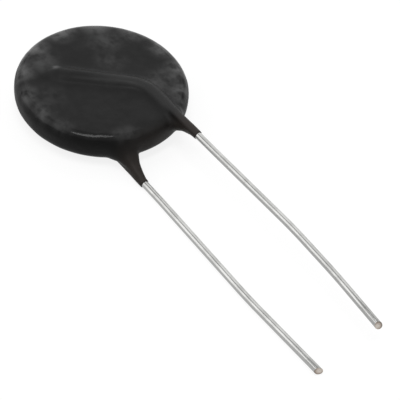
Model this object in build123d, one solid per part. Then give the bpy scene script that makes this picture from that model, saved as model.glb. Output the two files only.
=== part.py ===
from build123d import *
from math import cos, radians, sin, sqrt, tan
from typing import NamedTuple
import os

# Disc thermistor, dip-coated, with two radial wires. Sizes are in millimetres.
# It is modelled about the disc's centre, with the disc's axis on Z and the wires running towards +X,
# and then set down on its rear ridge.

# Ceramic disc and its fired silver electrodes
ceramic_diameter = 20.4
ceramic_thickness = 3.4
electrode_margin = 0.6
electrode_thickness = 0.04

# Tinned copper wires
wire_diameter = 0.95
lead_spacing = 7.8
lead_offset = 0.09
crossing_angle = 50.0
crossing_length = 11.2
crossing_bend_inset = 7.4
crossing_bend_radius = 2.5
bend_half_length = 2.0

# Solder that holds each wire along its electrode
solder_film = 0.03
solder_half_width = 1.1
solder_toe = 0.08
solder_shoulder = 0.28
solder_end_margin = 0.5
solder_past_wire = 0.3

# Dipped resin coating
coating_over_face = 0.26
coating_over_rim = 1.0
coating_over_wire = 0.15
coating_edge_radius = 1.5
coating_edge_steps = 4
ridge_flank_angle = 45.0

# Collars that the coating draws out along the wires
collar_length = 3.8
collar_wall = 0.13
web_top_sink = 0.15
web_tip_inset = 0.3
web_crown_inset = 1.6
web_root_inset = 3.0
web_root_share = 0.8
web_flare = 3.2
web_steps = 4


class Wire(NamedTuple):
    """What differs between the two wires and the webs of coating at their roots."""

    side: float
    bends: tuple
    tip: tuple
    shear_angle: float
    webs: tuple


# Bends and tip of a wire: distance from the rim, drift away from the other wire, and drift towards the
# middle plane.
# Webs: radius at the rim, and how far that end leans towards the other wire.
front_wire = Wire(
    side=lead_spacing / 2 + lead_offset,
    bends=((5.8, 0.0, 0.0), (21.9, 0.37, 0.37), (29.8, 0.29, 0.85)),
    tip=(38.4, -0.17, 1.38),
    shear_angle=-24.0,
    webs=((1.9, 0.0),),
)
rear_wire = Wire(
    side=lead_spacing / 2 - lead_offset,
    bends=((5.8, 0.0, 0.0), (25.2, 0.69, 0.05)),
    tip=(38.2, 0.53, 0.08),
    shear_angle=11.0,
    webs=((2.0, 0.0), (1.9, 0.9)),
)

# Heights and radii worked out from the sizes above
face_height = ceramic_thickness / 2
electrode_top = face_height + electrode_thickness
wire_radius = wire_diameter / 2
wire_height = electrode_top + solder_film + wire_radius
coated_radius = ceramic_diameter / 2 + coating_over_rim
coated_face = electrode_top + coating_over_face
crest_radius = wire_radius + coating_over_wire
electrode_radius = ceramic_diameter / 2 - electrode_margin
solder_reach = electrode_radius - solder_end_margin
collar_end = coated_radius + collar_length


def rear_of(shape):
    """The rear half of the part is the front half turned half a turn about X."""
    return Rotation(180, 0, 0) * shape


def across(path, at=0.0):
    """Plane square to a path, with its Y axis along the disc's axis."""
    tangent = path % at
    return Plane(origin=path @ at, x_dir=Vector(0, 0, 1).cross(tangent), z_dir=tangent)


def crossing_corners(side):
    """The wire's end on its electrode, and the corner where it turns towards its own side of the disc."""
    corner = Vector(coated_radius - crossing_bend_inset, side, wire_height)
    way = Vector(cos(radians(crossing_angle)), sin(radians(crossing_angle)), 0)
    return corner - way * crossing_length, corner


def crossing_path(side, first_x):
    """Flat path of a wire over the disc: in from first_x, round the bend and across to the wire's end."""
    inner_end, corner = crossing_corners(side)
    start = Vector(first_x, side, wire_height)
    return FilletPolyline(start, corner, inner_end, radius=crossing_bend_radius)


def bend_radius(before, corner, after):
    """Radius of an arc that takes up the set length of wire on each side of a gentle bend."""
    turn = (corner - before).get_angle(after - corner)
    return bend_half_length / tan(radians(turn / 2))


def lead(wire):
    """One round wire, from its end on the electrode to its sheared tip."""
    corners = list(crossing_corners(wire.side))
    for along, outwards, inwards in (*wire.bends, wire.tip):
        corners.append(Vector(coated_radius + along, wire.side + outwards, wire_height - inwards))
    radii = [crossing_bend_radius]
    for before, corner, after in zip(corners[1:], corners[2:], corners[3:]):
        radii.append(bend_radius(before, corner, after))
    route = FilletPolyline(*corners, radius=radii)
    rod = sweep(across(route) * Circle(wire_radius), path=route)
    waste = wire_diameter * 4
    cut = across(route, 1) * Pos(0, 0, -wire_radius) * Rotation(wire.shear_angle, 0, 0)
    return rod - cut * Pos(0, 0, waste / 2) * Box(waste, waste, waste)


def electrode():
    return Pos(0, 0, face_height) * extrude(Circle(electrode_radius), electrode_thickness)


def solder_section():
    """Section of the solder mound about the wire's middle, before the wire is taken out."""
    base = electrode_top - wire_height
    toe = (solder_half_width, base + solder_toe)
    shoulder = (solder_shoulder, solder_shoulder)
    outline = Polyline((0, shoulder[1]), (0, base), (solder_half_width, base), toe, shoulder, close=True)
    half = make_face(outline)
    return half + mirror(half, about=Plane.YZ)


def soldered_path(wire):
    """Stretch of the wire that is soldered down, which stays clear of the electrode's edge."""
    return crossing_path(wire.side, sqrt(solder_reach**2 - (wire.side + solder_half_width) ** 2))


def solder(wire):
    """Solder on both sides of the wire, in a film under it and past its end."""
    path = soldered_path(wire)
    section = solder_section()
    mound = sweep(across(path) * (section - Circle(wire_radius)), path=path)
    return mound + extrude(across(path, 1) * section, solder_past_wire)


def bore(wire):
    """Room that the wire and its solder take up in the coating."""
    path = soldered_path(wire)
    section = solder_section()
    bare_length = collar_end + wire_diameter - (path @ 0).X
    room = sweep(across(path) * (section + Circle(wire_radius)), path=path)
    room += extrude(across(path, 1) * section, solder_past_wire)
    return room + extrude(across(path) * Circle(wire_radius), -bare_length)


def ridge_section():
    """Right half of the ridge's section about the wire's middle: a round crest and a sloping flank."""
    slope = radians(ridge_flank_angle)
    join = Vector(sin(slope), cos(slope)) * crest_radius
    shoulder = Vector(sin(slope / 2), cos(slope / 2)) * crest_radius
    foot_y = -wire_height / 2
    foot_x = join.X + (join.Y - foot_y) / tan(slope)
    half = Polyline((0, crest_radius), (0, foot_y), (foot_x, foot_y), join)
    half += ThreePointArc(join, shoulder, (0, crest_radius))
    return make_face(half)


def ridge_foot():
    """Half the ridge's width where its flanks meet the face."""
    slope = radians(ridge_flank_angle)
    return crest_radius * sin(slope) + (wire_height + crest_radius * cos(slope) - coated_face) / tan(slope)


def ridge_rim_x(wire):
    """Middle of the ridge's rounded end at the rim, which keeps its flanks on the flat of the face."""
    flat_radius = coated_radius - coating_edge_radius
    return sqrt(flat_radius**2 - (wire.side + ridge_foot()) ** 2)


def ridge(wire):
    """Coating over the wire on the face, with a rounded end round the wire's end and another at the rim."""
    half = ridge_section()
    path = crossing_path(wire.side, ridge_rim_x(wire))
    whole = sweep(across(path) * (half + mirror(half, about=Plane.YZ)), path=path)
    for at in (0, 1):
        whole += revolve(across(path, at) * half, axis=Axis(path @ at, (0, 0, 1)), revolution_arc=360)
    return whole


def sleeve(wire):
    """Coating round the wire itself, from inside the ridge's end to where the wire comes out bare."""
    start = Plane(origin=(ridge_rim_x(wire) - wire_radius, wire.side, wire_height), z_dir=(1, 0, 0))
    return extrude(start * Circle(wire_radius + collar_wall), collar_end - start.origin.X)


def web(wire, rim_radius, lean):
    """Horn of coating drawn down from the sleeve to the disc's rim, wider towards the disc."""
    thin = wire_radius + collar_wall / 4
    tip = Vector(collar_end - web_tip_inset, wire.side, wire_height)
    crown_height = wire_height + thin - web_top_sink - rim_radius
    crown = Vector(coated_radius - web_crown_inset, wire.side - lean, crown_height)
    reach = (crown - tip).length
    profile = [(0, 0)]
    for step in range(web_steps + 1):
        share = step / web_steps
        profile.append((thin + (rim_radius - thin) * share**web_flare, reach * share))
    root = reach + web_root_inset - web_crown_inset
    profile += [(rim_radius * web_root_share, root), (0, root)]
    horn = revolve(Plane.XZ * make_face(Polyline(*profile, close=True)), axis=Axis.Z)
    return Plane(origin=tip, z_dir=crown - tip) * horn


def wire_coating(wire):
    """Everything that the coating adds to its plain round for one wire."""
    whole = ridge(wire) + sleeve(wire)
    for rim_radius, lean in wire.webs:
        whole += web(wire, rim_radius, lean)
    return whole


def coated_disc():
    """Plain round of the coating. Its edges, rounded by surface tension, are taken in short slopes."""
    middle_x = coated_radius - coating_edge_radius
    middle_z = coated_face - coating_edge_radius
    upper = []
    for step in range(coating_edge_steps + 1):
        turn = radians(90 * step / coating_edge_steps)
        x = middle_x + coating_edge_radius * cos(turn)
        z = middle_z + coating_edge_radius * sin(turn)
        upper.append((x, z))
    lower = [(x, -z) for x, z in reversed(upper)]
    outline = Polyline((0, -coated_face), *lower, *upper, (0, coated_face), close=True)
    return revolve(Plane.XZ * make_face(outline), axis=Axis.Z)


ceramic = Cylinder(ceramic_diameter / 2, ceramic_thickness)
front_electrode = electrode()
rear_electrode = rear_of(electrode())
front_lead = lead(front_wire)
rear_lead = rear_of(lead(rear_wire))
front_solder = solder(front_wire)
rear_solder = rear_of(solder(rear_wire))
coating = coated_disc() + wire_coating(front_wire) + rear_of(wire_coating(rear_wire))
coating -= ceramic + front_electrode + rear_electrode
coating -= bore(front_wire)
coating -= rear_of(bore(rear_wire))

pieces = {
    "coating": coating,
    "ceramic_disc": ceramic,
    "front_electrode": front_electrode,
    "rear_electrode": rear_electrode,
    "front_solder": front_solder,
    "rear_solder": rear_solder,
    "front_lead": front_lead,
    "rear_lead": rear_lead,
}

box = Compound(children=[Compound(piece.wrapped) for piece in pieces.values()]).bounding_box()
seat = Pos(-box.center().X, -box.center().Y, -box.min.Z)
os.makedirs("parts", exist_ok=True)
for name, piece in pieces.items():
    export_step(seat * piece, f"parts/{name}.step")
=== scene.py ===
"""Looks of a disc thermistor: a dipped resin skin, two tinned wires with sheared ends, and the stage."""
from math import cos, radians, tan
from typing import NamedTuple

import bpy
from mathutils import Matrix, Vector


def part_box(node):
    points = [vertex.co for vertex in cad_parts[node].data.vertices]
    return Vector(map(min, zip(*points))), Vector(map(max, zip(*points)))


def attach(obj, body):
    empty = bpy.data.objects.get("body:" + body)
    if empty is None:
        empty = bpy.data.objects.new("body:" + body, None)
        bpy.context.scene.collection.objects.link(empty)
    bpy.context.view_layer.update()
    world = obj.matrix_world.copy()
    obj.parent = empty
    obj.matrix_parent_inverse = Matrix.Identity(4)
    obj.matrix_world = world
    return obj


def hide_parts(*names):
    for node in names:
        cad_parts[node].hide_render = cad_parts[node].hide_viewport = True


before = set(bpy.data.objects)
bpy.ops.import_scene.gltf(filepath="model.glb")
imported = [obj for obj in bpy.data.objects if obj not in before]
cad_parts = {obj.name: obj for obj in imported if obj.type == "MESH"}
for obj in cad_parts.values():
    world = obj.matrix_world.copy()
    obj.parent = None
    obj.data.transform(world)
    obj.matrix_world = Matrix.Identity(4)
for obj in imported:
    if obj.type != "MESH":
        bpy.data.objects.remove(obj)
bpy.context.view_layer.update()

bl_info = {
    "name": "Disc thermistor",
    "version": (1, 0, 0),
    "blender": (4, 5, 0),
    "location": "3D View > Sidebar > Thermistor",
    "description": "Dipped skin, tinned wires and stage for a disc thermistor",
    "category": "Add Mesh",
}

MM = 0.001
BODY = "root"
MERGE_DISTANCE = 0.001 * MM

# Places that the frame gives, in metres
coating_low, coating_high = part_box("coating")
ceramic_low, ceramic_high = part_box("ceramic_disc")
DISC_CENTRE = (ceramic_low + ceramic_high) / 2
COLLAR_END_X = coating_high.x

# The coated disc's radius, and its faces' height over its middle plane, in millimetres
COATED_RADIUS = (coating_high.y - coating_low.y) / 2 / MM
COATED_FACE = 2.0

# Solids that fill the skin before it is wrapped
SOLID_NODES = ("coating", "ceramic_disc", "front_electrode", "rear_electrode", "front_solder", "rear_solder")


class Wire(NamedTuple):
    """A wire's route, in millimetres from the disc's centre and the wire's height, and how its end is cut."""

    name: str
    node: str
    route: tuple
    shear: tuple
    pinch: tuple
    smear: tuple
    turned_over: bool


# The wires' round section, and how far each wire's middle is from the disc's, in millimetres.
# A shear is how far the end leans back from square, and sideways, in degrees. A pinch is the same for the dent
# that the cutters left beside it, and a smear is how far the end's bright middle is from its centre.
WIRE_RADIUS = 0.475
PINCH_DEPTH = 0.2
WIRE_HEIGHT = 2.245
FRONT_WIRE = Wire(
    name="front_wire",
    node="front_lead",
    route=((-3.399, -4.59, 0), (3.8, 3.99, 0), (17.0, 3.99, 0), (33.1, 4.36, -0.37), (41.0, 4.28, -0.85),
           (49.7, 3.82, -1.38)),
    shear=(-24.0, -15.0),
    pinch=(-50.0, -50.0),
    smear=(0.0, -0.14, 0.02),
    turned_over=False,
)
REAR_WIRE = Wire(
    name="rear_wire",
    node="rear_lead",
    route=((-3.399, -4.77, 0), (3.8, 3.81, 0), (17.0, 3.81, 0), (36.4, 4.5, -0.05), (49.4, 4.34, -0.08)),
    shear=(11.0, 26.0),
    pinch=(25.0, 60.0),
    smear=(0.0, 0.06, 0.12),
    turned_over=True,
)
WIRES = (FRONT_WIRE, REAR_WIRE)

# The radius of a wire's bend on the disc, and the length of wire that a gentler bend takes up on each side of
# its corner
CROSSING_BEND_RADIUS = 2.5
BEND_HALF_LENGTH = 2.0
BEND_STEPS = 8

# The photograph's camera: its place from the disc's centre in millimetres, and the rows of its turn
CAMERA_PLACE = (114.712, -92.627, 136.474)
CAMERA_RIGHT = (0.60865, 0.78519, 0.11413)
CAMERA_DOWN = (0.62361, -0.38446, -0.68067)
CAMERA_FORWARD = (-0.49057, 0.48546, -0.72365)
CAMERA_LENS = 139.494


def in_row_frame(wire, point):
    """A point of a wire's route as a place in the row frame, in metres."""
    x, y, z = point[0], point[1], WIRE_HEIGHT + point[2]
    if wire.turned_over:
        y, z = -y, -z
    return DISC_CENTRE + Vector((x, y, z)) * MM


def srgb(colour):
    """Linear colour of an sRGB hex value."""
    channels = [int(colour[i : i + 2], 16) / 255 for i in (1, 3, 5)]
    linear = [c / 12.92 if c <= 0.04045 else ((c + 0.055) / 1.055) ** 2.4 for c in channels]
    return (*linear, 1.0)


def add_node(tree, kind, inputs=None, **settings):
    """Adds a shader node. An input is a value, an output socket, or a node whose first output is linked."""
    made = tree.nodes.new(kind)
    for name, value in settings.items():
        setattr(made, name, value)
    for name, value in (inputs or {}).items():
        if isinstance(name, str):
            socket = next(s for s in made.inputs if s.enabled and s.name == name)
        else:
            socket = made.inputs[name]
        if isinstance(value, bpy.types.Node):
            value = next(s for s in value.outputs if s.enabled)
        if isinstance(value, bpy.types.NodeSocket):
            tree.links.new(value, socket)
        else:
            socket.default_value = value
    return made


def new_material(name):
    """A material with an empty node tree, and that tree."""
    material = bpy.data.materials.new(name)
    material.use_nodes = True
    material.node_tree.nodes.clear()
    return material, material.node_tree


def place_on_part(tree):
    """The place that is shaded, in millimetres from the disc's centre."""
    coordinates = add_node(tree, "ShaderNodeTexCoord")
    inputs = {"Vector": coordinates.outputs["Object"], "Location": -DISC_CENTRE / MM, "Scale": (1 / MM,) * 3}
    return add_node(tree, "ShaderNodeMapping", inputs)


# Settings that many shader nodes share
SOFTLY = {"interpolation_type": "SMOOTHSTEP"}
COLOURS = {"data_type": "RGBA"}

# Where the resin's colours come in. Flatness is 1 on the faces and 0 on the edge, and places are from the
# disc's centre, in millimetres. The edge's darker colour is painted shade, the pale crests are painted
# highlight as well as wear, and the collars' paler brown is thin resin with painted sheen.
FACE_FLATNESS = {"From Min": 0.4, "From Max": 0.95}
SCUFFS_AND_HIGHLIGHTS_ON_EDGE = {"From Max": 0.6, "To Min": 0.3}
CREST_HEIGHTS = {"From Min": 2.2, "From Max": 2.65}
LIT_AND_WORN_CREST_X = {"From Min": -2.0, "From Max": 2.5}
THIN_AND_SHEEN_RESIN_X = {"From Min": 9.5, "From Max": 13.0, "To Max": 0.75}

# Noise in the resin's colour, with its scale as one over its size in millimetres, and how much of it shows
MOTTLE = {"Detail": 5.0, "Roughness": 0.6}
MOTTLE_SHOWN = {"From Min": 0.4, "From Max": 0.7}
SPECKS = {"Scale": 1 / 1.3, "Detail": 2.0, "Roughness": 0.5}
SPECKS_SHOWN = {"From Min": 0.22, "From Max": 0.7}

# The resin's roughness, and the glossier band along the rim. It stops short of where the front collar meets it.
GLOSS_PATCHES = {"Scale": 1 / 3.0, "Detail": 3.0}
RESIN_ROUGHNESS = {"From Min": 0.3, "From Max": 0.7, "To Min": 0.42, "To Max": 0.56}
RIM_BEGINS = {"From Min": 9.5, "From Max": 10.1}
RIM_ENDS = {"From Min": 10.8, "From Max": 11.15}
FRONT_FOOT = (10.6, 3.0, 1.6)
OFF_FRONT_FOOT = {"From Min": 3.5, "From Max": 4.8}

# Relief of the resin, with depths in millimetres
PEEL = {"Scale": 1 / 0.5, "Detail": 3.0}
PEEL_DEPTH = 0.012
WAVES = {"Scale": 1 / 1.8, "Detail": 2.0}
WAVE_DEPTH = 0.035


class RubAndHighlight(NamedTuple):
    """Pale patch, wear on the face and painted highlight on the rim: its middle from the disc's centre and
    reach, in millimetres.
    """

    x: float
    y: float
    z: float
    reach: float
    strength: float


# Rubbed places on the front face, which are wear, and then pale places round the rim, which are painted
# highlight and painted reflection
RUBS_AND_HIGHLIGHTS = (
    RubAndHighlight(-0.9, -7.6, 2.0, 3.4, 0.15),
    RubAndHighlight(-7.0, -5.0, 2.0, 3.6, 0.4),
    RubAndHighlight(-2.4, 2.8, 2.0, 3.2, 0.25),
    RubAndHighlight(-6.0, 4.4, 2.0, 4.0, 0.32),
    RubAndHighlight(4.2, 6.6, 2.0, 3.6, 0.4),
    RubAndHighlight(-4.5, -4.2, 2.4, 1.0, 0.9),
    RubAndHighlight(4.5, 8.7, 2.0, 2.8, 0.5),
    RubAndHighlight(9.4, -4.0, 2.0, 1.7, 0.25),
    RubAndHighlight(9.9, -2.7, 1.9, 1.8, 0.35),
    RubAndHighlight(4.6, -9.4, 1.7, 2.2, 0.35),
    RubAndHighlight(1.0, -10.4, 1.6, 3.0, 0.5),
    RubAndHighlight(-2.5, -10.3, 1.6, 3.0, 0.6),
    RubAndHighlight(-6.6, -8.3, 1.6, 3.0, 0.8),
    RubAndHighlight(-9.5, -4.6, 1.6, 3.2, 1.0),
    RubAndHighlight(-10.6, 0.4, 1.6, 3.4, 1.0),
    RubAndHighlight(-9.2, 5.3, 1.6, 3.2, 1.0),
    RubAndHighlight(-5.6, 9.0, 1.6, 3.2, 0.9),
    RubAndHighlight(-0.8, 10.5, 1.6, 3.2, 0.9),
    RubAndHighlight(3.8, 9.9, 1.6, 3.2, 0.9),
    RubAndHighlight(7.6, 7.4, 1.6, 3.0, 0.9),
)


def rubs_and_highlights(tree, place, on_face):
    """How pale the resin is rubbed, and painted with highlights on the rim: in specks, and less on the disc's
    edge than on its faces.
    """
    worn_and_lit = 0.0
    # The patches round the rim are painted highlight, and those on the face are wear.
    for rub in RUBS_AND_HIGHLIGHTS:
        middle = (rub.x, rub.y, rub.z)
        fading = {"From Max": rub.reach, "To Min": rub.strength, "To Max": 0.0}
        away = add_node(tree, "ShaderNodeVectorMath", {0: place, 1: middle}, operation="DISTANCE")
        near = add_node(tree, "ShaderNodeMapRange", {"Value": away, **fading}, **SOFTLY)
        worn_and_lit = add_node(tree, "ShaderNodeMath", {0: worn_and_lit, 1: near}, operation="MAXIMUM")
    specks = add_node(tree, "ShaderNodeTexNoise", {"Vector": place, **SPECKS})
    specks = add_node(tree, "ShaderNodeMapRange", {"Value": specks, **SPECKS_SHOWN}, **SOFTLY)
    scuffs_and_highlights = add_node(tree, "ShaderNodeMath", {0: worn_and_lit, 1: specks}, operation="MULTIPLY")
    off_edge = add_node(tree, "ShaderNodeMapRange", {"Value": on_face, **SCUFFS_AND_HIGHLIGHTS_ON_EDGE}, **SOFTLY)
    return add_node(tree, "ShaderNodeMath", {0: scuffs_and_highlights, 1: off_edge}, operation="MULTIPLY")


def lit_and_worn_crests(tree, split, look):
    """How pale the crests are, as wear and as a painted highlight: from the bend outwards, where they stand
    highest.
    """
    height = add_node(tree, "ShaderNodeMath", {0: split.outputs["Z"]}, operation="ABSOLUTE")
    # The crests' pale colour is a painted highlight as well as wear.
    inputs = {"Value": height, "To Max": look.crest_wear_and_highlight, **CREST_HEIGHTS}
    crest = add_node(tree, "ShaderNodeMapRange", inputs, **SOFTLY)
    outwards = add_node(tree, "ShaderNodeMapRange", {"Value": split.outputs["X"], **LIT_AND_WORN_CREST_X}, **SOFTLY)
    return add_node(tree, "ShaderNodeMath", {0: crest, 1: outwards}, operation="MULTIPLY")


def resin_colour(tree, place, look):
    """Mottled near black: painted shade on the edge, pale rubs and painted highlights, brown and painted sheen
    where thin.
    """
    normal = add_node(tree, "ShaderNodeNewGeometry").outputs["Normal"]
    facing = add_node(tree, "ShaderNodeSeparateXYZ", {"Vector": normal}).outputs["Z"]
    flatness = add_node(tree, "ShaderNodeMath", {0: facing}, operation="ABSOLUTE")
    on_face = add_node(tree, "ShaderNodeMapRange", {"Value": flatness, **FACE_FLATNESS}, **SOFTLY)
    # The edge takes the darker colour as painted shade, and the faces the paler one.
    inputs = {"Factor": on_face, "A": look.resin_edge_shade, "B": look.resin}
    colour = add_node(tree, "ShaderNodeMix", inputs, **COLOURS)

    inputs = {"Vector": place, "Scale": MM / look.mottle_size, **MOTTLE}
    clouds = add_node(tree, "ShaderNodeTexNoise", inputs)
    paler = add_node(tree, "ShaderNodeMapRange", {"Value": clouds, **MOTTLE_SHOWN}, **SOFTLY)
    paler = add_node(tree, "ShaderNodeMath", {0: paler, 1: on_face}, operation="MULTIPLY")
    inputs = {"Factor": paler, "A": colour, "B": look.resin_pale}
    colour = add_node(tree, "ShaderNodeMix", inputs, **COLOURS)

    split = add_node(tree, "ShaderNodeSeparateXYZ", {"Vector": place})
    inputs = {0: rubs_and_highlights(tree, place, on_face), 1: lit_and_worn_crests(tree, split, look)}
    scuffs_and_highlights = add_node(tree, "ShaderNodeMath", inputs, operation="MAXIMUM")
    inputs = {"Factor": scuffs_and_highlights, "A": colour, "B": look.resin_rubbed_and_highlight}
    colour = add_node(tree, "ShaderNodeMix", inputs, **COLOURS)

    # Along the collars the resin is brown where it is thin, and paler there as painted sheen.
    thin = add_node(tree, "ShaderNodeMapRange", {"Value": split.outputs["X"], **THIN_AND_SHEEN_RESIN_X}, **SOFTLY)
    inputs = {"Factor": thin, "A": colour, "B": look.resin_thin_and_sheen}
    return add_node(tree, "ShaderNodeMix", inputs, **COLOURS)


def resin_roughness(tree, place, look):
    """Matt in patches, and smoother along the rim, except beside the front collar."""
    patches = add_node(tree, "ShaderNodeTexNoise", {"Vector": place, **GLOSS_PATCHES})
    roughness = add_node(tree, "ShaderNodeMapRange", {"Value": patches, **RESIN_ROUGHNESS})
    flat_place = add_node(tree, "ShaderNodeVectorMath", {0: place, 1: (1, 1, 0)}, operation="MULTIPLY")
    reach = add_node(tree, "ShaderNodeVectorMath", {0: flat_place}, operation="LENGTH")
    to_rim = add_node(tree, "ShaderNodeMapRange", {"Value": reach, **RIM_BEGINS}, **SOFTLY)
    past_rim = add_node(tree, "ShaderNodeMapRange", {"Value": reach, **RIM_ENDS}, **SOFTLY)
    rim = add_node(tree, "ShaderNodeMath", {0: to_rim, 1: past_rim}, operation="SUBTRACT")
    from_foot = add_node(tree, "ShaderNodeVectorMath", {0: place, 1: FRONT_FOOT}, operation="DISTANCE")
    off_foot = add_node(tree, "ShaderNodeMapRange", {"Value": from_foot, **OFF_FRONT_FOOT}, **SOFTLY)
    rim = add_node(tree, "ShaderNodeMath", {0: rim, 1: off_foot}, operation="MULTIPLY")
    smoother = add_node(tree, "ShaderNodeMath", {0: rim, 1: look.rim_gloss}, operation="MULTIPLY")
    return add_node(tree, "ShaderNodeMath", {0: roughness, 1: smoother}, operation="SUBTRACT")


def resin_relief(tree, place):
    """The cured skin's fine peel, on shallow waves."""
    peel = add_node(tree, "ShaderNodeTexNoise", {"Vector": place, **PEEL})
    skin = add_node(tree, "ShaderNodeBump", {"Height": peel, "Distance": PEEL_DEPTH * MM})
    waves = add_node(tree, "ShaderNodeTexNoise", {"Vector": place, **WAVES})
    return add_node(tree, "ShaderNodeBump", {"Height": waves, "Distance": WAVE_DEPTH * MM, "Normal": skin})


def dipped_resin(look):
    """Dipped and oven-cured phenolic resin: near black and matt, mottled, with pale rubbed places and painted
    highlights.

    The eye sees faces a shade paler than the edge, whose darker colour is painted shade, a soft gloss and
    painted highlights along the rim, and a brown cast where the resin is thin on the wires, paler there as
    painted sheen.
    The low specular level keeps the white room's reflection faint, as on matt resin.
    """
    material, tree = new_material("dipped_resin")
    place = place_on_part(tree)
    inputs = {
        "Base Color": resin_colour(tree, place, look),
        "Roughness": resin_roughness(tree, place, look),
        "IOR": 1.5,
        "Specular IOR Level": 0.11,
        "Normal": resin_relief(tree, place),
    }
    shader = add_node(tree, "ShaderNodeBsdfPrincipled", inputs)
    add_node(tree, "ShaderNodeOutputMaterial", {"Surface": shader})
    return material


# Streaks drawn out along the tinned wires, and clouds and dents in the tin, with sizes and depths in
# millimetres. The darker flank that faces against Y is painted shade.
DRAWN_OUT = (0.03, 1.0, 1.0)
STREAKS = {"Scale": 1 / 0.16, "Detail": 3.0}
STREAK_DEPTH = 0.004
TIN_CLOUDS = {"Scale": 1 / 1.6, "Detail": 2.0, "Roughness": 0.5}
TIN_CLOUDS_SHOWN = {"From Min": 0.35, "From Max": 0.7}
DENT_DEPTH = 0.007
SHADED_FLANK = {"From Min": -0.75, "From Max": -0.94}
TIN_ROUGHNESS = {"From Min": 0.3, "From Max": 0.7, "To Min": 0.13, "To Max": 0.2}


def tinned_wire(look):
    """Drawn copper wire with a hot-dipped tin skin.

    The eye sees pale grey metal with faint streaks along it from the die, dents from handling, and a darker
    flank that is painted shade.
    """
    material, tree = new_material("tinned_copper_wire")
    place = place_on_part(tree)
    long_place = add_node(tree, "ShaderNodeMapping", {"Vector": place, "Scale": DRAWN_OUT})
    streaks = add_node(tree, "ShaderNodeTexNoise", {"Vector": long_place, **STREAKS})
    clouds = add_node(tree, "ShaderNodeTexNoise", {"Vector": place, **TIN_CLOUDS})
    dull = add_node(tree, "ShaderNodeMapRange", {"Value": clouds, **TIN_CLOUDS_SHOWN}, **SOFTLY)
    colour = add_node(tree, "ShaderNodeMix", {"Factor": dull, "A": look.tin, "B": look.tin_dull}, **COLOURS)

    # The flank that faces against Y is painted darker, as shade.
    normal = add_node(tree, "ShaderNodeNewGeometry").outputs["Normal"]
    sideways = add_node(tree, "ShaderNodeSeparateXYZ", {"Vector": normal}).outputs["Y"]
    shaded_flank = add_node(tree, "ShaderNodeMapRange", {"Value": sideways, **SHADED_FLANK}, **SOFTLY)
    colour = add_node(tree, "ShaderNodeMix", {"Factor": shaded_flank, "A": colour, "B": look.tin_flank_shade}, **COLOURS)

    roughness = add_node(tree, "ShaderNodeMapRange", {"Value": streaks, **TIN_ROUGHNESS})
    lines = add_node(tree, "ShaderNodeBump", {"Height": streaks, "Distance": STREAK_DEPTH * MM})
    inputs = {"Height": clouds, "Distance": DENT_DEPTH * MM, "Normal": lines}
    dents = add_node(tree, "ShaderNodeBump", inputs)
    inputs = {"Base Color": colour, "Metallic": 1.0, "Roughness": roughness, "Normal": dents}
    shader = add_node(tree, "ShaderNodeBsdfPrincipled", inputs)
    add_node(tree, "ShaderNodeOutputMaterial", {"Surface": shader})
    return material


# The smear of tin over a cut end, which fades out from the end's bright middle, and the painted shade of the
# dark edge beyond it, by the distance from that middle in millimetres
SMEAR = {"Scale": 1 / 0.3, "Detail": 4.0, "Roughness": 0.7}
SMEAR_SHOWN = {"From Min": 0.35, "From Max": 0.65, "To Min": 0.6, "To Max": 1.0}
SMEARED_MIDDLE = {"From Min": 0.1, "From Max": 0.62, "To Min": 1.0, "To Max": 0.0}
SHADED_EDGE = {"From Min": 0.42, "From Max": 0.6, "To Max": 0.8}
TORN = {"Scale": 1 / 0.12, "Detail": 3.0}
TORN_DEPTH = 0.02


def sheared_copper(look):
    """Copper laid bare by side cutters and a little tarnished.

    The eye sees dull tan metal, with a paler smear of tin over its middle and a darker edge of painted shade.
    """
    material, tree = new_material("sheared_copper_end")
    place = place_on_part(tree)
    smear = add_node(tree, "ShaderNodeTexNoise", {"Vector": place, **SMEAR})
    smear = add_node(tree, "ShaderNodeMapRange", {"Value": smear, **SMEAR_SHOWN})
    from_middle = 1.0
    for wire in WIRES:
        middle = (in_row_frame(wire, wire.route[-1]) - DISC_CENTRE) / MM - Vector((WIRE_RADIUS, 0, 0))
        middle += Vector(wire.smear)
        away = add_node(tree, "ShaderNodeVectorMath", {0: place, 1: middle}, operation="DISTANCE")
        from_middle = add_node(tree, "ShaderNodeMath", {0: from_middle, 1: away}, operation="MINIMUM")
    inner = add_node(tree, "ShaderNodeMapRange", {"Value": from_middle, **SMEARED_MIDDLE}, **SOFTLY)
    smear = add_node(tree, "ShaderNodeMath", {0: smear, 1: inner}, operation="MULTIPLY")
    inputs = {"Factor": smear, "A": look.copper, "B": look.copper_smeared}
    colour = add_node(tree, "ShaderNodeMix", inputs, **COLOURS)
    # The cut end's darker edge is painted shade.
    edge = add_node(tree, "ShaderNodeMapRange", {"Value": from_middle, **SHADED_EDGE})
    inputs = {"Factor": edge, "A": colour, "B": look.copper_edge_shade}
    colour = add_node(tree, "ShaderNodeMix", inputs, **COLOURS)
    torn = add_node(tree, "ShaderNodeTexNoise", {"Vector": place, **TORN})
    surface = add_node(tree, "ShaderNodeBump", {"Height": torn, "Distance": TORN_DEPTH * MM})
    inputs = {"Base Color": colour, "Metallic": 1.0, "Roughness": 0.55, "Normal": surface}
    shader = add_node(tree, "ShaderNodeBsdfPrincipled", inputs)
    add_node(tree, "ShaderNodeOutputMaterial", {"Surface": shader})
    return material


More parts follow.
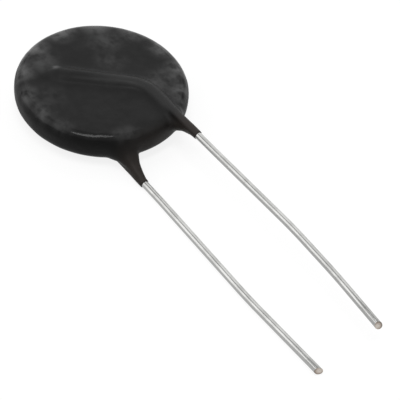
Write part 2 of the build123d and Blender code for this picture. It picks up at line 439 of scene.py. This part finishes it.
def grained_material(name, grain, dark, pale, depth, finish):
    """A material whose grain shows in its colour and in its relief, which has a depth in millimetres."""
    material, tree = new_material(name)
    pattern = add_node(tree, "ShaderNodeTexNoise", {"Vector": place_on_part(tree), **grain})
    inputs = {"Factor": pattern, "A": srgb(dark), "B": srgb(pale)}
    colour = add_node(tree, "ShaderNodeMix", inputs, **COLOURS)
    surface = add_node(tree, "ShaderNodeBump", {"Height": pattern, "Distance": depth * MM})
    shader = add_node(tree, "ShaderNodeBsdfPrincipled", {"Base Color": colour, "Normal": surface, **finish})
    add_node(tree, "ShaderNodeOutputMaterial", {"Surface": shader})
    return material


def sintered_ceramic():
    """Sintered manganese nickel oxide: dark grey, fine grained and dull."""
    return grained_material(
        "sintered_oxide_ceramic",
        grain={"Scale": 1 / 0.25, "Detail": 5.0, "Roughness": 0.7},
        dark="#2b2927",
        pale="#4a4643",
        depth=0.01,
        finish={"Roughness": 0.75},
    )


def fired_silver():
    """Screen-printed silver paste after firing: white metal with the faint grain of the printing mesh."""
    return grained_material(
        "fired_silver",
        grain={"Scale": 1 / 0.2, "Detail": 3.0},
        dark="#c9c7c1",
        pale="#e2e0da",
        depth=0.006,
        finish={"Metallic": 1.0, "Roughness": 0.5},
    )


def soft_solder():
    """Lead-free tin solder as it froze: pale grey, satin, slightly rippled."""
    return grained_material(
        "soft_solder",
        grain={"Scale": 1 / 0.6, "Detail": 4.0},
        dark="#a9aaa8",
        pale="#c6c6c2",
        depth=0.02,
        finish={"Metallic": 1.0, "Roughness": 0.38},
    )


def select_only(*items):
    """Leaves only these objects selected, with the first active."""
    bpy.ops.object.select_all(action="DESELECT")
    for item in items:
        item.select_set(True)
    bpy.context.view_layer.objects.active = items[0]


def edit_all(piece):
    """Opens a piece for editing, with the whole of it selected."""
    select_only(piece)
    bpy.ops.object.mode_set(mode="EDIT")
    bpy.ops.mesh.select_all(action="SELECT")


def select_nothing_in(piece):
    """Leaves none of a piece's edges and faces selected."""
    select_only(piece)
    bpy.ops.object.mode_set(mode="EDIT")
    bpy.ops.mesh.select_all(action="DESELECT")
    bpy.ops.object.mode_set(mode="OBJECT")


def copy_of_node(node, name):
    """A copy of a CAD node with a mesh of its own, whose loose triangles are merged."""
    piece = bpy.data.objects.new(name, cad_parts[node].data.copy())
    bpy.context.scene.collection.objects.link(piece)
    piece.data.materials.clear()
    edit_all(piece)
    bpy.ops.mesh.remove_doubles(threshold=MERGE_DISTANCE)
    bpy.ops.object.mode_set(mode="OBJECT")
    return piece


def cut_away(piece, place, normal):
    """Cuts off what lies beyond a plane and closes the cut."""
    edit_all(piece)
    bpy.ops.mesh.bisect(plane_co=place, plane_no=normal, use_fill=True, clear_outer=True)
    bpy.ops.object.mode_set(mode="OBJECT")


def apply_modifier(piece, kind, **settings):
    """Adds a modifier with its settings and applies it."""
    select_only(piece)
    bpy.ops.object.modifier_add(type=kind)
    modifier = piece.modifiers[-1]
    for name, value in settings.items():
        setattr(modifier, name, value)
    bpy.ops.object.modifier_apply(modifier=modifier.name)


def shade_smooth(piece):
    """Leaves the piece selected and shaded smooth."""
    select_only(piece)
    bpy.ops.object.shade_smooth()


def weigh(piece, name, weight_at):
    """Gives the piece a vertex group whose weights follow a function of place."""
    group = piece.vertex_groups.new(name=name)
    for vertex in piece.data.vertices:
        group.add([vertex.index], weight_at(vertex.co), "REPLACE")


def smooth_step(value, low, high):
    """Rises smoothly from 0 at low to 1 at high."""
    share = min(max((value - low) / (high - low), 0.0), 1.0)
    return share * share * (3 - 2 * share)


def draw_on(way):
    """Draws the selected ring on in a straight line."""
    bpy.ops.mesh.extrude_region_move(TRANSFORM_OT_translate={"value": way})


def bend_on(corner, way_in, way_out, reach):
    """Draws the selected ring on round a bend that starts and ends a reach from its corner."""
    turn = way_in.angle(way_out)
    middle = corner + (way_out - way_in).normalized() * (reach / tan(turn / 2) / cos(turn / 2))
    bpy.ops.mesh.spin(steps=BEND_STEPS, angle=-turn, center=middle, axis=way_in.cross(way_out))


def close_tube():
    """Fills both ends of a drawn tube and turns its faces outwards."""
    bpy.ops.mesh.select_all(action="SELECT")
    bpy.ops.mesh.fill_holes(sides=0)
    bpy.ops.mesh.select_all(action="SELECT")
    bpy.ops.mesh.normals_make_consistent(inside=False)
    bpy.ops.object.mode_set(mode="OBJECT")


class Stretch(NamedTuple):
    """Section of a ridge at a place along its wire, in millimetres.

    It gives half the ridge's width, half its height, and its crest's height over the disc's middle plane.
    """

    half_width: float
    half_height: float
    crest: float


# Resin that has gathered over a wire: low past the wire's end, widest at it, and narrower and higher from the
# bend to the rim, in millimetres
RIDGE_TOE = Stretch(1.2, 0.6, 2.1)
RIDGE_END = Stretch(1.4, 1.0, 2.9)
RIDGE_BEND = Stretch(1.0, 1.15, 2.96)
RIDGE_BEND_RADIUS = 4.5
RIDGE_TOE_LENGTH = 2.4
RIDGE_RIM_X = 8.3


def ridge_ring(wire, x, y, stretch):
    """Middle of a ridge's section in the row frame."""
    return in_row_frame(wire, (x, y, stretch.crest - stretch.half_height - WIRE_HEIGHT))


def reshape_ring(middle, before, after):
    """Changes the selected ring's width and height about its middle."""
    wider = after.half_width / before.half_width
    higher = after.half_height / before.half_height
    bpy.ops.transform.resize(value=(wider, wider, higher), center_override=middle)


def soft_ridge(wire, look):
    """The rounded ridge of resin over a wire on its face, which fades past the wire's end."""
    inner, corner = (Vector(point) for point in wire.route[:2])
    way = (corner - inner).normalized()
    toe = inner - way * RIDGE_TOE_LENGTH
    start = ridge_ring(wire, toe.x, toe.y, RIDGE_TOE)
    first = ridge_ring(wire, inner.x, inner.y, RIDGE_END)
    turning = ridge_ring(wire, corner.x, corner.y, RIDGE_BEND)
    last = ridge_ring(wire, RIDGE_RIM_X, corner.y, RIDGE_BEND)
    way_in = (ridge_ring(wire, corner.x, corner.y, RIDGE_END) - first).normalized()
    bpy.ops.object.select_all(action="DESELECT")
    turn = way_in.to_track_quat("Z", "Y").to_euler()
    bpy.ops.mesh.primitive_circle_add(vertices=look.ridge_sides, radius=RIDGE_TOE.half_width * MM,
                                      location=start, rotation=turn)
    ridge = bpy.context.object
    bpy.ops.object.transform_apply()
    edit_all(ridge)
    round_toe = Stretch(RIDGE_TOE.half_width, RIDGE_TOE.half_width, RIDGE_TOE.crest)
    reshape_ring(start, round_toe, RIDGE_TOE)
    draw_on(first - start)
    reshape_ring(first, RIDGE_TOE, RIDGE_END)
    way_out = (last - turning).normalized()
    reach = RIDGE_BEND_RADIUS * MM * tan(way_in.angle(way_out) / 2)
    bend_start = turning - way_in * reach
    draw_on(bend_start - first)
    reshape_ring(bend_start, RIDGE_END, RIDGE_BEND)
    bend_on(turning, way_in, way_out, reach)
    draw_on(last - turning - way_out * reach)
    close_tube()
    return ridge


def plain_round(look):
    """The disc's own round of resin, with the even edge that surface tension gives it."""
    bpy.ops.object.select_all(action="DESELECT")
    bpy.ops.mesh.primitive_cylinder_add(vertices=look.round_sides, radius=COATED_RADIUS * MM,
                                        depth=2 * COATED_FACE * MM, location=DISC_CENTRE)
    disc = bpy.context.object
    bpy.ops.object.transform_apply()
    select_nothing_in(disc)
    for edge in disc.data.edges:
        low, high = (disc.data.vertices[i].co.z for i in edge.vertices)
        edge.select = abs(low - high) < MERGE_DISTANCE
    bpy.ops.object.mode_set(mode="EDIT")
    bpy.ops.mesh.select_mode(type="EDGE")
    bpy.ops.mesh.bevel(offset=look.edge_radius, segments=look.edge_steps, affect="EDGES")
    bpy.ops.object.mode_set(mode="OBJECT")
    return disc


# How far the skin's melting reaches, from the disc's centre in millimetres. The collars are thin and keep most
# of their shape, and the faces' further melting ends before the rim.
COLLAR_X = (12.0, 14.0)
COLLAR_STIFFNESS = 0.75
FACE_ENDS = (8.6, 10.2)
MELT_FACTOR = 0.5


def melt_at(place):
    """How freely the skin melts: fully on the disc and the webs, and less along the collars."""
    out = (place.x - DISC_CENTRE.x) / MM
    return 1.0 - COLLAR_STIFFNESS * smooth_step(out, *COLLAR_X)


def face_melt_at(place):
    """How freely the faces melt further: fully on them, and not at all on the rim, which keeps its round."""
    out = (place - DISC_CENTRE).xy.length / MM
    return 1.0 - smooth_step(out, *FACE_ENDS)


def resin_skin(look):
    """One dipped skin: the solids, the soft ridges and the plain round are wrapped anew and melted together."""
    parts = [copy_of_node(name, f"{name}_fill") for name in SOLID_NODES]
    for wire in WIRES:
        plug = copy_of_node(wire.node, f"{wire.name}_fill")
        cut_away(plug, (COLLAR_END_X - look.collar_lip, 0, 0), (1, 0, 0))
        parts.append(plug)
        parts.append(soft_ridge(wire, look))
    parts.append(plain_round(look))
    select_only(*parts)
    bpy.ops.object.join()
    skin = parts[0]
    skin.name = "dipped_coating"
    apply_modifier(skin, "REMESH", mode="VOXEL", voxel_size=look.voxel)
    weigh(skin, "melt", melt_at)
    weigh(skin, "face", face_melt_at)
    apply_modifier(skin, "SMOOTH", factor=MELT_FACTOR, iterations=look.melt_passes, vertex_group="melt")
    apply_modifier(skin, "SMOOTH", factor=MELT_FACTOR, iterations=look.face_passes, vertex_group="face")
    ripple = bpy.data.textures.new("dip_ripple", type="CLOUDS")
    ripple.noise_scale = look.ripple_size
    ripple.noise_depth = 2
    apply_modifier(skin, "DISPLACE", texture=ripple, texture_coords="GLOBAL", strength=look.ripple_height,
                   mid_level=0.5, vertex_group="melt")
    shade_smooth(skin)
    return skin


# Settings that every colour property shares
COLOUR = {"subtype": "COLOR", "size": 4}


class THERMISTOR_PG_skin(bpy.types.PropertyGroup):
    """Sizes and colours of the dipped skin."""

    round_sides: bpy.props.IntProperty(
        name="Round sides", description="Faces round the disc before it is wrapped", default=160, min=24)
    ridge_sides: bpy.props.IntProperty(
        name="Ridge sides", description="Faces round a ridge before it is wrapped", default=40, min=12)
    edge_radius: bpy.props.FloatProperty(
        name="Edge radius", description="Radius of the disc's edges", default=1.5 * MM, unit="LENGTH")
    edge_steps: bpy.props.IntProperty(
        name="Edge steps", description="Faces across the round of an edge", default=8, min=1)
    voxel: bpy.props.FloatProperty(
        name="Mesh size", description="Edge length of the skin's mesh", default=0.13 * MM, unit="LENGTH")
    melt_passes: bpy.props.IntProperty(
        name="Melt", description="How far the seams of the skin have run together", default=45, min=0)
    face_passes: bpy.props.IntProperty(
        name="Face melt", description="How much further the ridges have sunk", default=110, min=0)
    ripple_height: bpy.props.FloatProperty(
        name="Ripple height", description="Depth of the skin's waves", default=0.05 * MM, unit="LENGTH")
    ripple_size: bpy.props.FloatProperty(
        name="Ripple size", description="Width of the skin's waves", default=2.4 * MM, unit="LENGTH")
    collar_lip: bpy.props.FloatProperty(
        name="Collar lip", description="How deep a collar's end is open", default=0.05 * MM, unit="LENGTH")
    mottle_size: bpy.props.FloatProperty(
        name="Mottle size", description="Width of the resin's paler clouds", default=3.5 * MM, unit="LENGTH")
    # How pale the crests are, as wear and as painted highlight.
    crest_wear_and_highlight: bpy.props.FloatProperty(
        name="Crest wear", description="How pale the ridges' crests are rubbed", default=0.16, min=0, max=1)
    rim_gloss: bpy.props.FloatProperty(
        name="Rim gloss", description="How much smoother the rim is", default=0.36, min=0, max=0.4)
    resin: bpy.props.FloatVectorProperty(
        name="Resin", description="Colour of the resin on the faces", default=srgb("#1f1f1f"), **COLOUR)
    # The edge's darker colour is painted shade.
    resin_edge_shade: bpy.props.FloatVectorProperty(
        name="Edge", description="Colour of the resin on the disc's edge", default=srgb("#0e0e0e"), **COLOUR)
    resin_pale: bpy.props.FloatVectorProperty(
        name="Paler clouds", description="Colour of the mottling", default=srgb("#262626"), **COLOUR)
    # Pale rubbed resin on the faces; on the rim and crests this colour is painted highlight.
    resin_rubbed_and_highlight: bpy.props.FloatVectorProperty(
        name="Rubbed", description="Colour of the resin where it is rubbed", default=srgb("#666666"), **COLOUR)
    # The thin resin's brown is made paler as painted sheen.
    resin_thin_and_sheen: bpy.props.FloatVectorProperty(
        name="Thin", description="Colour of the resin along the collars", default=srgb("#393431"), **COLOUR)


class THERMISTOR_PG_wires(bpy.types.PropertyGroup):
    """Sizes and colours of the wires and of their cut ends."""

    sides: bpy.props.IntProperty(name="Sides", description="Faces round a wire", default=40, min=12)
    tin: bpy.props.FloatVectorProperty(
        name="Tin", description="Colour of the tinned wire", default=srgb("#cfcfcd"), **COLOUR)
    tin_dull: bpy.props.FloatVectorProperty(
        name="Dull tin", description="Colour of the tin's clouds", default=srgb("#bcbcba"), **COLOUR)
    tin_flank_shade: bpy.props.FloatVectorProperty(
        # Colour of the painted shade on the flank that faces against Y.
        name="Thin tin", description="Colour of the tin where it is thin", default=srgb("#a6a6a5"), **COLOUR)
    copper: bpy.props.FloatVectorProperty(
        name="Copper", description="Colour of the sheared copper", default=srgb("#ac9d91"), **COLOUR)
    copper_edge_shade: bpy.props.FloatVectorProperty(
        # The cut end's darker edge colour is painted shade.
        name="Dark copper", description="Colour of a cut end's edge", default=srgb("#6e665f"), **COLOUR)
    copper_smeared: bpy.props.FloatVectorProperty(
        name="Smeared copper", description="Colour of a cut end's middle", default=srgb("#d6d1ca"), **COLOUR)
    end_rounding: bpy.props.FloatProperty(
        name="End rounding", description="Radius of a cut end's edge", default=0.05 * MM, unit="LENGTH")
    end_steps: bpy.props.IntProperty(
        name="End steps", description="Faces across the round of a cut end's edge", default=3, min=1)
    smooth_angle: bpy.props.FloatProperty(
        name="Smooth angle", description="Edges that turn further show as sharp", default=radians(35),
        subtype="ANGLE")


class THERMISTOR_PG_stage(bpy.types.PropertyGroup):
    """Lamps, floor and surroundings."""

    floor_sides: bpy.props.IntProperty(name="Floor sides", description="Sides of the floor", default=96, min=12)
    floor_radius: bpy.props.FloatProperty(
        name="Floor radius", description="Radius of the round floor", default=2.0, unit="LENGTH")
    floor_lip: bpy.props.FloatProperty(
        name="Floor lip", description="Height of the floor's turned-up edge", default=0.6, unit="LENGTH")
    floor_colour: bpy.props.FloatVectorProperty(
        name="Floor", description="Colour of the floor as it takes light", default=srgb("#7b7b7b"), **COLOUR)
    floor_white: bpy.props.FloatProperty(
        name="Floor white", description="White that the sweep shows by itself", default=0.84, min=0)
    room_light: bpy.props.FloatProperty(
        name="Room", description="Level of the surroundings", default=0.42, min=0)
    overhead_power: bpy.props.FloatProperty(
        name="Overhead lamp", description="Power of the lamp over the part", default=2.2, unit="POWER")
    far_power: bpy.props.FloatProperty(
        name="Far lamp", description="Power of the lamp behind the part", default=0.72, unit="POWER")
    left_power: bpy.props.FloatProperty(
        name="Left lamp", description="Power of the lamp to the left of the part", default=0.62, unit="POWER")


class THERMISTOR_OT_coating(bpy.types.Operator):
    """Wraps the disc and the roots of the wires in one dipped skin"""

    bl_idname = "thermistor.coating"
    bl_label = "Dipped coating"

    def execute(self, context):
        look = context.scene.thermistor_skin
        skin = resin_skin(look)
        skin.data.materials.append(dipped_resin(look))
        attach(skin, BODY)
        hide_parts("coating")
        return {"FINISHED"}


def slanted(wire, way, lean):
    """The way along a wire's end, leant upwards and then sideways."""
    up = Vector((0, 0, -1 if wire.turned_over else 1))
    back, sideways = (radians(angle) for angle in lean)
    return Matrix.Rotation(sideways, 3, up) @ (Matrix.Rotation(back, 3, up.cross(way)) @ way)


def wire_tube(wire, look):
    """A round wire, drawn on from its inner end run by run and bend by bend, and cut off at its end.

    Given with it are the middle of its cut end and the ways that the cuts face.
    """
    corners = [in_row_frame(wire, point) for point in wire.route]
    way = (corners[1] - corners[0]).normalized()
    bpy.ops.object.select_all(action="DESELECT")
    turn = way.to_track_quat("Z", "Y").to_euler()
    bpy.ops.mesh.primitive_circle_add(vertices=look.sides, radius=WIRE_RADIUS * MM, location=corners[0],
                                      rotation=turn)
    tube = bpy.context.object
    tube.name = wire.name
    bpy.ops.object.transform_apply()
    edit_all(tube)
    reached = corners[0]
    for before, corner, after in zip(corners, corners[1:], corners[2:]):
        way_in = (corner - before).normalized()
        way_out = (after - corner).normalized()
        reach = BEND_HALF_LENGTH * MM
        if corner is corners[1]:
            reach = CROSSING_BEND_RADIUS * MM * tan(way_in.angle(way_out) / 2)
        draw_on(corner - way_in * reach - reached)
        bend_on(corner, way_in, way_out, reach)
        reached = corner + way_out * reach
    draw_on(corners[-1] - reached)
    close_tube()
    way = (corners[-1] - reached).normalized()
    end = corners[-1] - way * WIRE_RADIUS * MM
    shear = slanted(wire, way, wire.shear)
    pinch = slanted(wire, way, wire.pinch)
    out = (pinch - way * pinch.dot(way)).normalized()
    cut_away(tube, end, shear)
    cut_away(tube, end + out * (WIRE_RADIUS - PINCH_DEPTH) * MM, pinch)
    return tube, end, (shear, pinch)


# A face with a normal this close to a cut's is part of the cut
SAME_WAY = 0.999

# The bare copper's place among a wire's materials, after the tin
COPPER_SLOT = 1


def finish_end(tube, end, normals, look):
    """Gives the cut end its bare copper and rolls its edge over."""
    select_nothing_in(tube)
    for face in tube.data.polygons:
        flat = any(face.normal.dot(normal) > SAME_WAY for normal in normals)
        face.select = flat and (face.center - end).length < 2 * WIRE_RADIUS * MM
    bpy.ops.object.mode_set(mode="EDIT")
    bpy.ops.mesh.select_mode(type="FACE")
    tube.active_material_index = COPPER_SLOT
    bpy.ops.object.material_slot_assign()
    bpy.ops.mesh.region_to_loop()
    bpy.ops.mesh.bevel(offset=look.end_rounding, segments=look.end_steps, affect="EDGES", material=COPPER_SLOT)
    bpy.ops.object.mode_set(mode="OBJECT")


class THERMISTOR_OT_wires(bpy.types.Operator):
    """Draws the two tinned wires and shears their ends"""

    bl_idname = "thermistor.wires"
    bl_label = "Tinned wires"

    def execute(self, context):
        look = context.scene.thermistor_wires
        tin = tinned_wire(look)
        copper = sheared_copper(look)
        for wire in WIRES:
            tube, end, normals = wire_tube(wire, look)
            tube.data.materials.append(tin)
            tube.data.materials.append(copper)
            finish_end(tube, end, normals, look)
            shade_smooth(tube)
            bpy.ops.object.shade_smooth_by_angle(angle=look.smooth_angle)
            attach(tube, BODY)
            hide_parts(wire.node)
        return {"FINISHED"}


class THERMISTOR_OT_core(bpy.types.Operator):
    """Gives the ceramic disc, its silver layers and the solder their finishes"""

    bl_idname = "thermistor.core"
    bl_label = "Disc, silver and solder"

    def execute(self, context):
        silver = fired_silver()
        solder = soft_solder()
        finishes = {
            "ceramic_disc": sintered_ceramic(),
            "front_electrode": silver,
            "rear_electrode": silver,
            "front_solder": solder,
            "rear_solder": solder,
        }
        for name, material in finishes.items():
            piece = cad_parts[name]
            piece.data.materials.clear()
            piece.data.materials.append(material)
        return {"FINISHED"}


# Light paths that see the stage as the white sweep it is
SEEN_AS_WHITE = ("Is Camera Ray", "Is Glossy Ray", "Is Transmission Ray")


def white_sweep(look):
    """Seamless white card: it shows white by itself and still takes the part's soft shadow."""
    material, tree = new_material("white_sweep")
    path = add_node(tree, "ShaderNodeLightPath")
    seen = path.outputs[SEEN_AS_WHITE[0]]
    for name in SEEN_AS_WHITE[1:]:
        seen = add_node(tree, "ShaderNodeMath", {0: seen, 1: path.outputs[name]}, operation="MAXIMUM")
    strength = add_node(tree, "ShaderNodeMath", {0: seen, 1: look.floor_white}, operation="MULTIPLY")
    card = add_node(tree, "ShaderNodeBsdfDiffuse", {"Color": look.floor_colour})
    glow = add_node(tree, "ShaderNodeEmission", {"Strength": strength})
    both = add_node(tree, "ShaderNodeAddShader", {0: card, 1: glow})
    add_node(tree, "ShaderNodeOutputMaterial", {"Surface": both})
    return material


def surroundings(look):
    """A plain pale room."""
    world = bpy.data.worlds.new("plain_room")
    bpy.context.scene.world = world
    world.use_nodes = True
    tree = world.node_tree
    tree.nodes.clear()
    room = add_node(tree, "ShaderNodeBackground", {"Color": (1, 1, 1, 1), "Strength": look.room_light})
    add_node(tree, "ShaderNodeOutputWorld", {"Surface": room})


class Lamp(NamedTuple):
    """A soft lamp: the way to it from the disc, how far off it is, and its size, in metres."""

    name: str
    way: Vector
    distance: float
    width: float
    depth: float


# The overhead lamp is a strip, so that the wires don't mirror it to the camera near their ends. The far lamp is
# straight behind the part as the camera sees it.
FAR_LAMP_WAY = Vector((CAMERA_FORWARD[0], CAMERA_FORWARD[1], 0)).normalized() + Vector((0, 0, 0.8))
OVERHEAD_LAMP = Lamp("overhead_lamp", Vector((0.14, -0.22, 1.0)), distance=0.8, width=0.44, depth=0.17)
FAR_LAMP = Lamp("far_lamp", FAR_LAMP_WAY, distance=0.55, width=0.6, depth=0.6)
LEFT_LAMP = Lamp("left_lamp", Vector((-0.45, -0.66, 0.64)), distance=0.55, width=0.45, depth=0.45)


def add_lamp(lamp, power):
    """Adds a soft lamp that faces the disc, with its width across the wires."""
    way = lamp.way.normalized()
    side = Vector((0, 1, 0))
    side = (side - way * side.dot(way)).normalized()
    bpy.ops.object.select_all(action="DESELECT")
    bpy.ops.object.light_add(type="AREA", location=DISC_CENTRE + way * lamp.distance)
    made = bpy.context.object
    made.name = lamp.name
    made.data.shape = "RECTANGLE"
    made.data.size = lamp.width
    made.data.size_y = lamp.depth
    made.data.energy = power
    made.rotation_euler = Matrix((side, way.cross(side), way)).transposed().to_euler()


def floor_sheet(look):
    """A round sheet of card whose edge is turned up, so that it fills low views too."""
    bpy.ops.object.select_all(action="DESELECT")
    bpy.ops.mesh.primitive_circle_add(vertices=look.floor_sides, radius=look.floor_radius, fill_type="NGON")
    floor = bpy.context.object
    floor.name = "floor"
    edit_all(floor)
    bpy.ops.mesh.region_to_loop()
    bpy.ops.mesh.extrude_region_move(TRANSFORM_OT_translate={"value": (0, 0, look.floor_lip)})
    widening = 1 + look.floor_lip / look.floor_radius
    bpy.ops.transform.resize(value=(widening, widening, 1))
    bpy.ops.object.mode_set(mode="OBJECT")
    floor.data.materials.append(white_sweep(look))
    return floor


def add_camera():
    """The camera where the photograph was taken from."""
    data = bpy.data.cameras.new("photograph")
    data.lens = CAMERA_LENS
    data.clip_start = 0.01
    data.clip_end = 10.0
    camera = bpy.data.objects.new("photograph", data)
    bpy.context.scene.collection.objects.link(camera)
    turn = Matrix((CAMERA_RIGHT, [-v for v in CAMERA_DOWN], [-v for v in CAMERA_FORWARD])).transposed()
    camera.matrix_world = Matrix.Translation(DISC_CENTRE + Vector(CAMERA_PLACE) * MM) @ turn.to_4x4()
    bpy.context.scene.camera = camera


class THERMISTOR_OT_stage(bpy.types.Operator):
    """Sets up the white floor, the lamps and the camera"""

    bl_idname = "thermistor.stage"
    bl_label = "Stage"

    def execute(self, context):
        look = context.scene.thermistor_stage
        floor_sheet(look)
        surroundings(look)
        add_lamp(OVERHEAD_LAMP, look.overhead_power)
        add_lamp(FAR_LAMP, look.far_power)
        add_lamp(LEFT_LAMP, look.left_power)
        add_camera()
        context.scene.view_settings.view_transform = "Standard"
        return {"FINISHED"}


class THERMISTOR_PT_panel(bpy.types.Panel):
    """Lists the thermistor's operators"""

    bl_label = "Disc thermistor"
    bl_space_type = "VIEW_3D"
    bl_region_type = "UI"
    bl_category = "Thermistor"

    def draw(self, context):
        for operator in OPERATORS:
            self.layout.operator(operator.bl_idname)


GROUPS = {
    "thermistor_skin": THERMISTOR_PG_skin,
    "thermistor_wires": THERMISTOR_PG_wires,
    "thermistor_stage": THERMISTOR_PG_stage,
}
OPERATORS = (THERMISTOR_OT_coating, THERMISTOR_OT_wires, THERMISTOR_OT_core, THERMISTOR_OT_stage)


def register():
    for name, group in GROUPS.items():
        bpy.utils.register_class(group)
        setattr(bpy.types.Scene, name, bpy.props.PointerProperty(type=group))
    for operator in OPERATORS:
        bpy.utils.register_class(operator)
    bpy.utils.register_class(THERMISTOR_PT_panel)


def unregister():
    bpy.utils.unregister_class(THERMISTOR_PT_panel)
    for operator in reversed(OPERATORS):
        bpy.utils.unregister_class(operator)
    for name, group in GROUPS.items():
        delattr(bpy.types.Scene, name)
        bpy.utils.unregister_class(group)


def main():
    register()
    bpy.ops.thermistor.coating()
    bpy.ops.thermistor.wires()
    bpy.ops.thermistor.core()
    bpy.ops.thermistor.stage()


if __name__ == "__main__":
    main()
